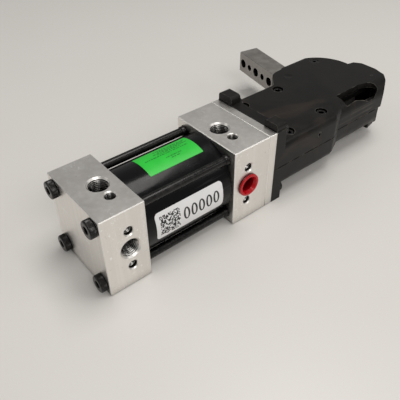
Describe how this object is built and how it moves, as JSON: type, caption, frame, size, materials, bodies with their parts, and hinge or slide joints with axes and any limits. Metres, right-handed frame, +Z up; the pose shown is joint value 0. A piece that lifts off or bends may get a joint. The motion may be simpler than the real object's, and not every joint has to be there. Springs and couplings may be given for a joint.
{
  "type": "pneumatic gripper",
  "caption": "Pneumatic gripper: a square-ended air cylinder whose piston drives a sliding yoke that swings a drilled clamp arm out of a two-part body.",
  "frame": {"origin": "centre of the rear cap's rear face, on the cylinder axis", "axes": "+X along the cylinder towards the nose, +Z up, +Y to the side that the arm sticks out of"},
  "size_m": [0.3063, 0.1526, 0.0702],
  "materials": {
    "machined_aluminium": "satin",
    "tube_black": "gloss",
    "black_casting": "matte",
    "black_oxide_steel": "satin",
    "dowel_steel": "polished",
    "zinc_steel": "satin",
    "seal_rubber": "matte",
    "bumper_urethane": "satin",
    "bronze": "satin",
    "piston_aluminium": "satin",
    "wear_ring_plastic": "matte",
    "rod_chrome": "polished",
    "yoke_steel": "satin",
    "arm_steel": "matte",
    "red_plastic": "gloss",
    "green_label": "satin",
    "white_label": "satin"
  },
  "bodies": {
    "housing": {"rear_cap": "machined_aluminium", "cylinder_tube": "tube_black", "front_head": "machined_aluminium", "adapter_plate": "machined_aluminium", "upper_body_half": "black_casting", "lower_body_half": "black_casting", "tie_bolts": "black_oxide_steel", "flange_screws": "black_oxide_steel", "body_screws": "black_oxide_steel", "nose_screw": "black_oxide_steel", "dowel_pins": "dowel_steel", "cushion_needles": "zinc_steel", "rear_tube_seal": "seal_rubber", "front_tube_seal": "seal_rubber", "rear_bumper": "bumper_urethane", "front_bumper": "bumper_urethane", "rod_seal": "seal_rubber", "rod_bush": "bronze", "rod_wiper": "seal_rubber", "pivot_shaft": "dowel_steel", "thrust_washers": "bronze", "guide_strips": "bronze", "stop_pad": "bumper_urethane", "lobe_plug": "black_oxide_steel", "nose_pin": "dowel_steel", "side_set_screw": "black_oxide_steel", "port_plug": "red_plastic", "green_label": "green_label", "white_label": "white_label"},
    "piston_assembly": {"piston": "piston_aluminium", "piston_seals": "seal_rubber", "piston_wear_ring": "wear_ring_plastic", "piston_rod": "rod_chrome", "piston_nut": "zinc_steel", "rod_jam_nut": "zinc_steel", "yoke": "yoke_steel"},
    "arm": {"clamp_arm": "arm_steel", "arm_bush": "bronze", "crank_pin": "dowel_steel", "pin_clips": "zinc_steel"},
    "roller_upper": {"crank_roller_upper": "dowel_steel"},
    "roller_lower": {"crank_roller_lower": "dowel_steel"}
  },
  "joints": [
    {"name": "piston_slide", "type": "slide", "parent": "housing", "child": "piston_assembly", "axis": [1, 0, 0], "range_m": [-0.03322, 0.0042]},
    {"name": "arm_swing", "type": "hinge", "parent": "housing", "child": "arm", "pos_m": [0.257, 0.0215, 0], "axis": [0, 0, -1], "range_deg": [-11, 87]},
    {"name": "roller_upper_spin", "type": "hinge", "parent": "arm", "child": "roller_upper", "pos_m": [0.27178, 0.00259, 0.012], "axis": [0, 0, 1], "continuous": true},
    {"name": "roller_lower_spin", "type": "hinge", "parent": "arm", "child": "roller_lower", "pos_m": [0.27178, 0.00259, -0.012], "axis": [0, 0, 1], "continuous": true}
  ],
  "couplings": [
    {"joint": "arm_swing", "follows": "piston_slide", "rad_per_m": -45.704}
  ]
}
